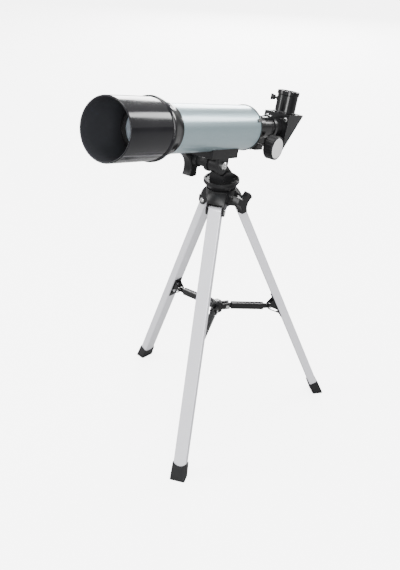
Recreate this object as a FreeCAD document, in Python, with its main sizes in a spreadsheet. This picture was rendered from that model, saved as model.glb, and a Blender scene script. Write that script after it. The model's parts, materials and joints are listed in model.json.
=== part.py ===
import FreeCAD, Part
import math
import os
import re
import Sketcher
from FreeCAD import Placement, Rotation, Vector

# Small refracting telescope on a three-legged table stand.
# Millimetres, +Z up.  The origin is the point on the floor under the pan axis, the objective
# looks towards -Y and the altitude axis runs along X.
# Optical frame: x = right, y = up, z = along the optical axis towards the objective, with its
# origin where the optical axis crosses the pan axis.
# Leg frame: x = outwards, y = sideways, z = up the leg, with its origin at the leg's pin.

os.makedirs("parts", exist_ok=True)
doc = FreeCAD.newDocument("telescope")
sheet = doc.addObject("Spreadsheet::Sheet", "Sizes")

DIMENSIONS = {
    # optical tube
    "optical_height": 442.75, "optical_pitch": 16.0,
    "tube_radius": 28.5, "tube_wall": 0.9, "tube_rear": -45.4, "tube_front": 127.5,
    "tube_hidden": 12.0, "fit_gap": 0.05,
    "cell_radius": 29.9, "cell_front": 150.5, "cell_flare": 34.4,
    "flange_radius": 36.4, "flange_length": 3.2, "hood_radius": 34.9, "hood_front": 226.9,
    "hood_bore": 32.9, "hood_throat": 27.9, "lens_sleeve": 27.4, "lens_front": 168.5,
    "lens_radius": 25.0, "lens_clearance": 0.1, "lens_edge": 3.0, "lens_bulge": 1.6, "flint_hollow": 0.7,
    "lens_rear": 158.4, "spacer_length": 0.6, "ring_length": 3.0, "ring_bore": 22.0, "shelf_bore": 22.0,
    "shelf_thick": 1.6, "stop_radius": 13.0, "stop_at": 112.0, "stop_length": 6.0,
    # focuser
    "plug_length": 12.0, "rear_rim": 0.9, "rim_thick": 1.4, "neck_radius": 18.0, "neck_rear": -78.0,
    "draw_radius": 15.0,
    "draw_bore": 13.4, "draw_front": -22.0, "draw_rear": -112.0, "draw_collar": 16.4,
    "collar_length": 6.0, "groove_deep": 0.5, "groove_wide": 1.1, "groove_step": 2.5,
    "box_half": 9.0, "box_bottom": 26.0, "box_rear": -94.0,
    "cover_thick": 2.6, "cover_front": -74.0, "rack_half": 2.4, "rack_base": 16.2,
    "gear_module": 0.6, "gear_teeth": 12, "gear_half": 2.0, "pinion_at": -87.0, "shaft_radius": 2.0,
    "shaft_gap": 0.05, "knob_radius": 15.8, "knob_back": 18.6, "knob_face": 35.0,
    "cap_radius": 13.7, "cap_depth": 1.6, "knob_chamfer": 2.2, "flute_radius": 1.1,
    # star diagonal and eyepiece holder
    "diag_front": -131.0, "diag_tip": -173.0, "diag_top": 20.0, "diag_bottom": -29.5,
    "diag_half": 19.5, "diag_wall": 2.2, "barrel_radius": 12.2, "barrel_bore": 10.8,
    "barrel_front": -98.0, "plate_thick": 2.0, "mirror_thick": 3.0, "mirror_half": 13.0,
    "holder_at": -152.0, "holder_radius": 14.25, "holder_bore": 12.3, "holder_top": 50.0,
    "holder_collar": 15.25, "holder_collar_length": 6.0, "thumb_height": 37.5,
    # saddle, altitude axis and pan head
    "saddle_half": 17.0, "saddle_rear": -18.8, "saddle_front": 40.0, "saddle_bottom": 35.0,
    "axis_along": 2.5, "axis_below": 45.7, "ear_outer": 11.4, "ear_inner": 6.3,
    "ear_radius": 11.5, "bolt_radius": 3.0, "bolt_head": 5.4, "sleeve_radius": 8.0,
    "sleeve_end": 24.0, "sleeve_collar": 10.2, "alt_knob_radius": 25.0, "alt_knob_near": 30.0,
    "alt_knob_far": 42.5, "tongue_half": 6.0, "tongue_base_half": 10.5, "tongue_radius": 9.8,
    "disc_radius": 23.4, "disc_top": 375.0, "disc_rim": 370.5, "neck_top": 363.4,
    "disc_under": 19.2, "spindle_radius": 5.0, "spindle_foot": 344.0,
    # tripod hub
    "hub_radius": 19.6, "hub_top": 363.0, "hub_core": 13.5, "hub_bottom": 338.5,
    "arch_reach": 29.0, "arch_bottom": 348.8, "cheek_inner": 9.2, "cheek_outer": 12.0,
    "cheek_round": 6.2, "pin_radius": 2.2, "pin_out": 23.6, "pin_height": 338.3,
    "clamp_height": 354.5, "clamp_radius": 2.5, "clamp_knob_near": 33.5, "clamp_knob_far": 44.0,
    "clamp_knob_radius": 14.6,
    # legs and feet
    "front_leg_turn": 18.47, "splay": 22.8, "leg_wide": 17.65, "leg_deep": 11.3, "leg_wall": 1.1,
    "leg_top": 5.6, "leg_length": 349.0, "foot_tall": 22.0, "foot_wall": 1.2, "foot_flare": 1.0,
    "foot_scoop": 5.0,
    # spreader
    "hub_rivet_out": 14.5, "hub_rivet_height": 177.3, "leg_rivet_out": 78.0,
    "leg_rivet_height": 168.0, "bar_half": 3.8, "bar_tall": 9.5, "bar_inset": 6.0,
    "tongue_thick": 2.6, "rivet_radius": 1.6, "rivet_head": 2.3, "bracket_up": 14.0,
    "bracket_down": 22.5, "bracket_thick": 1.5, "bracket_half": 6.4, "fork_gap": 1.7,
    "lug_gap": 4.1, "lug_thick": 1.2, "slot_along": 8.9, "slot_in": 6.9, "slot_gap": 0.45,
    "spread_half_tall": 7.0, "spread_core": 7.5, "spread_reach": 17.9,
}
DIMENSIONS["gear_pitch"] = "=gear_module * gear_teeth / 2"
DIMENSIONS["pinion_below"] = "=draw_radius + 1.9 + gear_pitch"
for row, (alias, value) in enumerate(DIMENSIONS.items(), start=1):
    sheet.set(f"A{row}", alias.replace("_", " "))
    sheet.set(f"B{row}", str(value))
    sheet.setAlias(f"B{row}", alias)
doc.recompute()

PIECES = []
SCREW_TURNS = (60, 180, 300)
ALTITUDE_KNOB_TURN = 30
CLAMP_KNOB_TURN = 5
X, Y, Z = Vector(1, 0, 0), Vector(0, 1, 0), Vector(0, 0, 1)
FLOOR = Placement()


def size(expression):
    """A length worked out from the sheet's cells, such as size("tube_radius - tube_wall")."""
    return float(sheet.evalExpression(str(expression)))


def linked(expression):
    """The same expression with every cell name pointing at the sheet."""
    def point(word):
        return "Sizes." + word.group(0) if word.group(0) in DIMENSIONS else word.group(0)

    return re.sub(r"[a-z_]+", point, str(expression))


def place(obj, at=(0, 0, 0), axis=Z, turn=None):
    """Stand obj at a point, with its own z along axis."""
    base = Vector(*[size(c) for c in at])
    rotation = turn if turn is not None else Rotation(Z, axis)
    obj.Placement = Placement(base, rotation)
    return obj


def cylinder(name, radius, height, at=(0, 0, 0), axis=Z):
    obj = doc.addObject("Part::Cylinder", name)
    obj.setExpression("Radius", linked(radius))
    obj.setExpression("Height", linked(height))
    return place(obj, at, axis)


def cone(name, radius_low, radius_high, height, at=(0, 0, 0), axis=Z):
    obj = doc.addObject("Part::Cone", name)
    obj.setExpression("Radius1", linked(radius_low))
    obj.setExpression("Radius2", linked(radius_high))
    obj.setExpression("Height", linked(height))
    return place(obj, at, axis)


def box(name, low, high):
    """A box between two corners, each corner given as three expressions."""
    obj = doc.addObject("Part::Box", name)
    for prop, a, b in zip(("Length", "Width", "Height"), low, high):
        obj.setExpression(prop, linked(f"( {b} ) - ( {a} )"))
    return place(obj, low)


def fuse(name, *shapes):
    obj = doc.addObject("Part::MultiFuse", name)
    obj.Shapes = list(shapes)
    return obj


def cut(name, base, *tools):
    obj = doc.addObject("Part::Cut", name)
    obj.Base = base
    obj.Tool = tools[0] if len(tools) == 1 else fuse(name + "_tools", *tools)
    return obj


def outline(body, plane, points, name):
    """A closed sketch of straight lines whose corners are fixed by expressions."""
    sketch = body.newObject("Sketcher::SketchObject", name)
    role = {"XY": "XY_Plane", "XZ": "XZ_Plane", "YZ": "YZ_Plane"}[plane]
    origin_plane = [o for o in body.Origin.OriginFeatures if o.Role == role][0]
    sketch.AttachmentSupport = [(origin_plane, "")]
    sketch.MapMode = "FlatFace"
    corners = [Vector(size(a), size(b), 0) for a, b in points]
    for start, end in zip(corners, corners[1:] + corners[:1]):
        sketch.addGeometry(Part.LineSegment(start, end), False)
    count = len(corners)
    for i in range(count):
        sketch.addConstraint(Sketcher.Constraint("Coincident", i, 2, (i + 1) % count, 1))
    for i, (a, b) in enumerate(points):
        for kind, expression, value in (("DistanceX", a, corners[i].x), ("DistanceY", b, corners[i].y)):
            index = sketch.addConstraint(Sketcher.Constraint(kind, -1, 1, i, 1, value))
            sketch.setExpression(f"Constraints[{index}]", linked(expression))
    return sketch


def turned(name, points):
    """A Body revolved about its z axis from (radius, height) corners."""
    body = doc.addObject("PartDesign::Body", name)
    sketch = outline(body, "XZ", points, name + "_section")
    turn = body.newObject("PartDesign::Revolution", name + "_turn")
    turn.Profile = sketch
    turn.ReferenceAxis = (sketch, ["V_Axis"])
    turn.Angle = 360
    body.Tip = turn
    return body


def padded(name, plane, points, length):
    """A Body padded from a polygon, centred on its sketch plane."""
    body = doc.addObject("PartDesign::Body", name)
    sketch = outline(body, plane, points, name + "_outline")
    pad = body.newObject("PartDesign::Pad", name + "_pad")
    pad.Profile = sketch
    pad.SideType = "Symmetric"
    pad.setExpression("Length", linked(length))
    body.Tip = pad
    return body


def keep(obj, label, where=FLOOR):
    """Name a finished piece and set it in its frame."""
    obj.Label = label
    obj.Placement = where.multiply(obj.Placement)
    PIECES.append(obj)
    return obj


def optical(along=0.0):
    """The optical frame, moved along the optical axis."""
    frame = Placement(Vector(0, 0, size("optical_height")), Rotation(X, 90 - size("optical_pitch")))
    return frame.multiply(Placement(Vector(0, 0, size(along)), Rotation()))


def radial(turn):
    """The upright frame of one leg: x outwards from the pan axis."""
    return Placement(Vector(), Rotation(Z, size("front_leg_turn") + turn - 90))


def leg_frame(turn):
    tilt = Placement(Vector(size("pin_out"), 0, size("pin_height")), Rotation(Y, -size("splay")))
    return radial(turn).multiply(tilt)


def ring_of(name, count, radius, height, at_radius, at_z, start=0.0, axis=Z):
    """Cylinders set on a circle about z."""
    ring = []
    for k in range(count):
        angle = math.radians(start + 360.0 / count * k)
        out = size(at_radius)
        spot = (out * math.cos(angle), out * math.sin(angle), size(at_z))
        ring.append(cylinder(f"{name}_{k}", radius, height, spot, axis))
    return ring


def spoke(name, radius, height, turn, start, along):
    """A cylinder pointing outwards from the optical axis, turned from the tube's top."""
    a = math.radians(turn)
    out = Vector(math.sin(a), math.cos(a), 0)
    spot = out * size(start) + Vector(0, 0, size(along))
    return cylinder(name, radius, height, tuple(spot), out)


def pin_row(name, radius, height, spots, axis):
    return [cylinder(f"{name}_{k}", radius, height, spot, axis) for k, spot in enumerate(spots)]


# ---------------------------------------------------------------- optical tube and objective
def optical_tube():
    inner = "tube_radius - tube_wall"
    length = "tube_front + tube_hidden - tube_rear"
    tube = turned("tube", [(inner, "0"), ("tube_radius", "0"), ("tube_radius", length), (inner, length)])
    holes = [spoke(f"tube_hole_{turn}", "1.6", "6", turn, "tube_radius - 4", "5") for turn in SCREW_TURNS]
    keep(cut("tube_cut", tube, *holes), "main_tube", optical("tube_rear"))

    seat = "tube_radius + fit_gap"
    bore = "lens_radius + lens_clearance"
    flare_end = "cell_front - tube_front"
    sleeve_end = "lens_front - tube_front"
    shelf_front = "lens_rear - tube_front"
    shelf_rear = f"{shelf_front} - shelf_thick"
    cell = turned("cell", [
        (seat, "0"), ("cell_radius", "0"), ("cell_radius", "4"),
        ("cell_flare", f"{flare_end} - 2"), ("cell_flare", flare_end), ("lens_sleeve", flare_end),
        ("lens_sleeve", f"{sleeve_end} - 0.8"), ("lens_sleeve - 0.8", sleeve_end), (bore, sleeve_end),
        (bore, shelf_front), ("shelf_bore", shelf_front), ("shelf_bore", shelf_rear),
        (bore, shelf_rear), (bore, "tube_hidden + 0.6"), (seat, "tube_hidden + 0.6"),
    ])
    keep(cell, "objective_cell", optical("tube_front"))

    hood_length = "hood_front - cell_front"
    hood = turned("hood", [
        ("hood_throat", "fit_gap"), ("flange_radius", "fit_gap"), ("flange_radius", "flange_length"),
        ("hood_radius", "flange_length + 0.8"), ("hood_radius", f"{hood_length} - 1"),
        ("hood_radius - 0.5", hood_length), ("hood_bore + 0.5", hood_length),
        ("hood_bore", f"{hood_length} - 1"), ("hood_bore", "3"), ("hood_throat", "3"),
    ])
    keep(hood, "dew_shield", optical("cell_front"))


def bowl(name, bulge, at, facing):
    """The ball whose cap of the given bulge covers a lens face; facing is +1 or -1 along z."""
    ball = doc.addObject("Part::Sphere", name)
    radius = f"( lens_radius * lens_radius + {bulge} * {bulge} ) / ( 2 * {bulge} )"
    ball.setExpression("Radius", linked(radius))
    return place(ball, (0, 0, size(at) - facing * size(radius)))


def lenses(flint_rear, crown_rear):
    """An air-spaced pair: a hollow flint behind and a bulging crown in front."""
    blank = cylinder("flint_blank", "lens_radius", "lens_edge")
    front = bowl("flint_front", "lens_bulge", "lens_edge - lens_bulge", -1)
    back = bowl("flint_back", "flint_hollow", "flint_hollow", 1)
    keep(cut("flint", blank, front, back), "flint_lens", optical(flint_rear))
    blank = cylinder(
        "crown_blank", "lens_radius", "lens_edge + lens_bulge * 2 + 2", (0, 0, "-lens_bulge - 1"),
    )
    crown = doc.addObject("Part::MultiCommon", "crown")
    crown.Shapes = [
        blank, bowl("crown_front", "lens_bulge", "lens_edge + lens_bulge", 1),
        bowl("crown_back", "lens_bulge", "-lens_bulge", -1),
    ]
    keep(crown, "crown_lens", optical(crown_rear))


def objective():
    spacer_at = "lens_rear + lens_edge"
    spacer = turned("spacer", [
        ("lens_radius - 0.3", "0.02"), ("lens_radius", "0"), ("lens_radius", "spacer_length"),
        ("lens_radius - 0.3", "spacer_length - 0.06"),
    ])
    keep(spacer, "lens_spacer", optical(spacer_at))
    crown_at = f"{spacer_at} + spacer_length"
    lenses("lens_rear", crown_at)
    crown_rim = f"{crown_at} + lens_edge"
    retainer = turned("retainer", [
        ("ring_bore", "0.5"), ("lens_radius", "0.06"), ("lens_radius", "ring_length"),
        ("ring_bore + 0.6", "ring_length"), ("ring_bore", "ring_length - 0.6"),
    ])
    keep(retainer, "lens_retaining_ring", optical(crown_rim))
    edge = "tube_radius - tube_wall"
    wall = "1.2"
    stop = turned("stop", [
        ("stop_radius", "0"), (edge, "0"), (edge, "stop_length"), (f"{edge} - {wall}", "stop_length"),
        (f"{edge} - {wall}", wall), ("stop_radius", wall),
    ])
    keep(stop, "aperture_stop", optical("stop_at"))


# ---------------------------------------------------------------- focuser
def focuser():
    plug = "tube_radius - tube_wall"
    bore = "draw_radius + shaft_gap"
    neck = "tube_rear - neck_rear"
    rim = "tube_radius + rear_rim"
    body = turned("focuser_turned", [
        (bore, "0"), ("neck_radius - 0.8", "0"), ("neck_radius", "0.8"), (
            "neck_radius", f"{neck} - rim_thick",
        ),
        (
            f"{rim} - 0.4", f"{neck} - rim_thick",
        ), (rim, f"{neck} - rim_thick + 0.4"), (rim, neck), (plug, neck),
        (plug, f"{neck} + plug_length"), (f"{plug} - 2", f"{neck} + plug_length"),
        (f"{plug} - 2", f"{neck} + 2.4"), ("draw_radius + 4", f"{neck} + 2.4"),
        ("draw_radius + 4", f"{neck} + plug_length"), (bore, f"{neck} + plug_length"),
    ])
    place(body, (0, 0, "neck_rear"))
    block = box(
        "pinion_block", ("-box_half", "-box_bottom", "box_rear"),
        ("box_half", "-draw_radius * 0.6", "tube_rear - 3"),
    )
    drawway = cylinder("draw_way", bore, "60", (0, 0, "box_rear - 5"))
    rackway = box(
        "rack_way", ("-rack_half - 0.4", "-rack_base - 4.4", "box_rear - 5"),
        ("rack_half + 0.4", "-draw_radius + 3", "tube_rear + plug_length + 1"),
    )
    gear_pocket = cylinder(
        "gear_pocket", "gear_module * 8", "rack_half * 2 + 0.8",
        ("-rack_half - 0.4", "-pinion_below", "pinion_at"), X,
    )
    shaft_way = cylinder(
        "shaft_way", "shaft_radius + shaft_gap", "box_half * 2 + 4",
        ("-box_half - 2", "-pinion_below", "pinion_at"), X,
    )
    hatch = box(
        "gear_hatch", ("-rack_half - 0.4", "-box_bottom - 1", "pinion_at - gear_module * 8"),
        ("rack_half + 0.4", "-pinion_below", "pinion_at + gear_module * 8"),
    )
    grip = fuse("focuser_whole", body, block)
    taps = [
        spoke(f"plug_hole_{turn}", "1.6", "8", turn, "tube_radius - 6", "tube_rear + 5")
        for turn in SCREW_TURNS
    ]
    cover_taps = pin_row(
        "cover_tap", "0.9", "4",
        [("0", "-box_bottom - 0.5", "cover_front - 2.5"), ("0", "-box_bottom - 0.5", "box_rear + 1.6")], Y,
    )
    keep(
        cut("focuser_cut", grip, drawway, rackway, gear_pocket, shaft_way, hatch, *taps, *cover_taps),
        "focuser_body", optical(),
    )

    cover = box(
        "cover_plate", ("-box_half", "-box_bottom - cover_thick", "box_rear"),
        ("box_half", "-box_bottom", "cover_front"),
    )
    holes = pin_row(
        "cover_hole", "1.1", "6",
        [("0", "-box_bottom - 4", "cover_front - 2.5"), ("0", "-box_bottom - 4", "box_rear + 1.6")], Y,
    )
    keep(cut("cover_cut", cover, *holes), "pinion_cover", optical())
    screws = []
    for k, along in enumerate(("cover_front - 2.5", "box_rear + 1.6")):
        head = cylinder(f"cover_head_{k}", "1.9", "1.3", ("0", "-box_bottom - cover_thick - 1.3", along), Y)
        shank = cylinder(
            f"cover_shank_{k}", "0.9", "cover_thick + 3", ("0", "-box_bottom - cover_thick - 0.2", along),
            Y,
        )
        screws += [head, shank]
    keep(fuse("cover_screws_all", *screws), "pinion_cover_screws", optical())

    screws = []
    for turn in SCREW_TURNS:
        screws.append(spoke(f"tube_head_{turn}", "2.3", "1.4", turn, "tube_radius + 0.05", "tube_rear + 5"))
        screws.append(spoke(f"tube_shank_{turn}", "1.55", "4", turn, "tube_radius - 3.5", "tube_rear + 5"))
    keep(fuse("tube_screws_all", *screws), "tube_screws", optical())

    draw_length = "draw_front - draw_rear"
    grooves = []
    for k in range(3):
        groove = f"collar_length + 1.4 + groove_step * {k}"
        grooves += [
            ("draw_radius", groove), ("draw_radius - groove_deep", groove),
            (
                "draw_radius - groove_deep", f"{groove} + groove_wide",
            ), ("draw_radius", f"{groove} + groove_wide"),
        ]
    socket = "barrel_radius + 0.07"
    draw = turned("draw", [
        (socket, "0"), ("draw_collar - 0.6", "0"), ("draw_collar", "0.6"), ("draw_collar", "collar_length"),
        (
            "draw_radius", "collar_length",
        ), *grooves, ("draw_radius", draw_length), ("draw_bore", draw_length),
        ("draw_bore", "collar_length + 8"), (socket, "collar_length + 8"),
    ])
    place(draw, (0, 0, "draw_rear"))
    flat = box(
        "rack_flat", ("-rack_half", "-draw_radius - 1", "draw_rear + collar_length"),
        ("rack_half", "-draw_radius + 0.6", "draw_front + 1"),
    )
    keep(cut("draw_cut", draw, flat), "focus_drawtube", optical())
    rack()
    pinion()
    knobs()


def rack():
    """Straight teeth under the drawtube, pointing down at the pinion."""
    pitch = math.pi * size("gear_module")
    low, high = size("draw_rear + collar_length"), size("draw_front")
    root = -(size("pinion_below") - size("gear_pitch") - size("gear_module") * 1.15)
    tip = -(size("pinion_below") - size("gear_pitch") + size("gear_module") * 0.85)
    half_root, half_tip = pitch * 0.34, pitch * 0.11
    back = size("-draw_radius + 0.6")
    points = [Vector(0, back, low), Vector(0, root, low)]
    first = math.ceil((low - size("pinion_at")) / pitch)
    last = math.floor((high - size("pinion_at")) / pitch)
    for k in range(first, last):
        centre = size("pinion_at") + pitch * (k + 0.5)
        if centre - half_root < low + 0.1 or centre + half_root > high - 0.1:
            continue
        points += [Vector(0, root, centre - half_root), Vector(0, tip, centre - half_tip),
                   Vector(0, tip, centre + half_tip), Vector(0, root, centre + half_root)]
    points += [Vector(0, root, high), Vector(0, back, high), Vector(0, back, low)]
    side = Part.Face(Part.makePolygon(points))
    obj = doc.addObject("Part::Feature", "rack_bar")
    obj.Shape = side.extrude(Vector(size("rack_half * 2 - 0.4"), 0, 0))
    obj.Placement = Placement(Vector(-size("rack_half - 0.2"), 0, 0), Rotation())
    keep(obj, "focus_rack", optical())


def pinion():
    """The toothed pinion and its through shaft."""
    module, teeth = size("gear_module"), int(size("gear_teeth"))
    pitch_radius = module * teeth / 2
    tip, root = pitch_radius + module * 0.8, pitch_radius - module * 1.25
    points = []
    for k in range(teeth):
        middle = 2 * math.pi * k / teeth
        for radius, half in (
            (root, 0.30), (pitch_radius, 0.19), (tip, 0.07), (tip, -0.07), (pitch_radius, -0.19),
            (root, -0.30),
        ):
            angle = middle - half * 2 * math.pi / teeth
            points.append(Vector(0, radius * math.sin(angle), radius * math.cos(angle)))
    points.append(points[0])
    wheel = Part.Face(Part.makePolygon(points)).extrude(Vector(size("gear_half * 2"), 0, 0))
    hub = Part.makeCylinder(size("shaft_radius"), size("gear_half * 2 + 2"), Vector(-1, 0, 0), X)
    quarter = Placement(
        Vector(-size("gear_half"), -size("pinion_below"), size("pinion_at")), Rotation(X, 90.0),
    )
    obj = doc.addObject("Part::Feature", "pinion_wheel")
    obj.Shape = wheel.cut(hub)
    obj.Placement = quarter
    keep(obj, "pinion_gear", optical())
    shaft = cylinder(
        "shaft_rod", "shaft_radius", "knob_face * 2 - 6", ("-knob_face + 3", "-pinion_below", "pinion_at"),
        X,
    )
    keep(shaft, "pinion_shaft", optical())


def knobs():
    for side, label in ((1, "right"), (-1, "left")):
        thick = "knob_face - knob_back"
        body = turned(f"knob_{label}", [
            ("shaft_radius", "0"), ("5", "0"), ("5", "2"), ("knob_radius - knob_chamfer", "2"),
            (
                "knob_radius", "2 + knob_chamfer",
            ), ("knob_radius", f"{thick} - 0.8"), ("knob_radius - 0.8", thick),
            ("cap_radius", thick), ("cap_radius", f"{thick} - cap_depth"), (
                "shaft_radius", f"{thick} - cap_depth",
            ),
        ])
        flutes = ring_of(
            f"flute_{label}", 20, "flute_radius", f"{thick} + 2", "knob_radius + flute_radius * 0.62", "-1",
        )
        gripped = cut(f"knob_cut_{label}", body, *flutes)
        turn = Rotation(Z, X * side)
        gripped.Placement = Placement(
            Vector(side * size("knob_back"), -size("pinion_below"), size("pinion_at")), turn,
        )
        keep(gripped, f"focus_knob_{label}", optical())
        rim = "cap_radius - 0.05"
        cap = turned(
            f"cap_{label}",
            [
                ("0", "0"), (rim, "0"), (rim, "cap_depth - 0.3"), (f"{rim} - 0.5", "cap_depth + 0.2"),
                ("0", "cap_depth + 0.5"),
            ],
        )
        cap.Placement = Placement(
            Vector(side * size("knob_face - cap_depth"), -size("pinion_below"), size("pinion_at")), turn,
        )
        keep(cap, f"knob_cap_{label}", optical())


# ---------------------------------------------------------------- star diagonal
def wedge(name, half, inset, front, top):
    """Triangular prism in the optical frame, inset from the diagonal's own faces."""
    tip, low = size("diag_tip"), size("diag_bottom")
    run, rise = size("diag_front - diag_tip"), size("diag_top - diag_bottom")
    length = math.hypot(run, rise)
    corners = (
        (front, low + (size("diag_front") - front) * rise / run + inset * length / run),
        (front, top),
        (tip + (size("diag_top") - top) * run / rise + inset * length / rise, top),
    )
    points = [Vector(-half, u, s) for s, u in corners]
    points.append(points[0])
    obj = doc.addObject("Part::Feature", name)
    obj.Shape = Part.Face(Part.makePolygon(points)).extrude(Vector(2 * half, 0, 0))
    return obj


def diagonal():
    half, wall = size("diag_half"), size("diag_wall")
    plate = size("plate_thick")
    outer = wedge("diag_outer", half, plate + 0.02, size("diag_front"), size("diag_top"))
    cavity = wedge(
        "diag_cavity", half - wall, plate - 1, size("diag_front") - wall, size("diag_top") - wall,
    )
    inlet = cylinder("diag_inlet", "barrel_radius", "12", (0, 0, "diag_front - 8"))
    outlet = cylinder("diag_outlet", "holder_bore + 0.4", "12", (0, "diag_top - 8", "holder_at"), Y)
    bolts = pin_row(
        "diag_bolt_hole", "1.8", "8",
        [
            ("diag_half - 5", "diag_top - 7", "diag_front - 6"),
            ("5 - diag_half", "diag_top - 7", "diag_front - 6"),
        ],
        Z,
    )
    keep(cut("diag_cut", outer, cavity, inlet, outlet, *bolts), "diagonal_housing", optical())

    screws = []
    for k, side in enumerate((1, -1)):
        spot = (side * size("diag_half - 5"), size("diag_top - 7"), size("diag_front"))
        dome = cone(f"diag_head_{k}", "3.4", "2.4", "1.8", (spot[0], spot[1], spot[2] + 0.02), Z)
        shank = cylinder(f"diag_shank_{k}", "1.75", "5", (spot[0], spot[1], spot[2] - 4.5), Z)
        slot = box(
            f"diag_slot_{k}", (spot[0] - 3, spot[1] - 0.4, spot[2] + 1.1),
            (spot[0] + 3, spot[1] + 0.4, spot[2] + 2.5),
        )
        screws.append(cut(f"diag_screw_{k}", fuse(f"diag_pin_{k}", dome, shank), slot))
    keep(fuse("diag_screws_all", *screws), "diagonal_screws", optical())

    run, rise = size("diag_front - diag_tip"), size("diag_top - diag_bottom")
    length = math.hypot(run, rise)
    lean = Rotation(X, -math.degrees(math.atan2(run, rise)))
    back_at = Placement(Vector(0, size("diag_bottom"), size("diag_front")), lean)
    back = box("back_plate", ("-diag_half", "1", "0"), ("diag_half", f"{length - 1}", "plate_thick"))
    back.Placement = back_at.multiply(back.Placement)
    keep(back, "diagonal_back_plate", optical())
    mirror = box(
        "mirror_glass", ("-mirror_half", f"{length / 2 - 17}", "plate_thick"),
        ("mirror_half", f"{length / 2 + 17}", "plate_thick + mirror_thick"),
    )
    mirror.Placement = back_at.multiply(mirror.Placement)
    keep(mirror, "diagonal_mirror", optical())

    barrel_length = "barrel_front - diag_front + diag_wall"
    barrel = turned("barrel", [
        ("barrel_bore", "0"), ("barrel_radius - 0.02", "0"), ("barrel_radius - 0.02", "diag_wall"),
        ("barrel_radius", "diag_wall"), ("barrel_radius", barrel_length), ("barrel_bore", barrel_length),
    ])
    keep(barrel, "diagonal_barrel", optical("diag_front - diag_wall"))

    rise_top = "holder_top - diag_top"
    holder = turned("holder", [
        ("holder_bore", "0"), ("holder_radius + 1.5", "0"), (
            "holder_radius + 1.5", "1.4",
        ), ("holder_radius", "2"),
        ("holder_radius", f"{rise_top} - holder_collar_length"), (
            "holder_collar", f"{rise_top} - holder_collar_length + 0.6",
        ),
        (
            "holder_collar", f"{rise_top} - 0.6",
        ), ("holder_collar - 0.6", rise_top), ("holder_bore + 0.3", rise_top), (
            "holder_bore", f"{rise_top} - 0.4",
        ),
    ])
    holder.Placement = Placement(Vector(0, size("diag_top"), size("holder_at")), Rotation(Z, Y))
    thread = cylinder("thumb_way", "1.6", "6", ("-holder_radius - 3", "thumb_height", "holder_at"), X)
    boss = cylinder("thumb_boss", "3", "2.6", ("-holder_radius - 2", "thumb_height", "holder_at"), X)
    inside = cylinder("boss_bore", "holder_radius - 0.8", "12", (0, "thumb_height - 6", "holder_at"), Y)
    bossed = fuse("holder_boss", holder, cut("boss_trim", boss, inside))
    keep(cut("holder_cut", bossed, thread), "eyepiece_holder", optical())
    shank = cylinder("thumb_shank", "1.5", "8", ("-holder_bore - 8.2", "thumb_height", "holder_at"), X)
    head = cylinder("thumb_head", "3.6", "3", ("-holder_bore - 10.8", "thumb_height", "holder_at"), X)
    wing = box(
        "thumb_wing", ("-holder_bore - 13.8", "thumb_height - 4.2", "holder_at - 0.9"),
        ("-holder_bore - 10.4", "thumb_height + 4.2", "holder_at + 0.9"),
    )
    keep(fuse("thumb_whole", shank, head, wing), "eyepiece_thumbscrew", optical())


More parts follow.
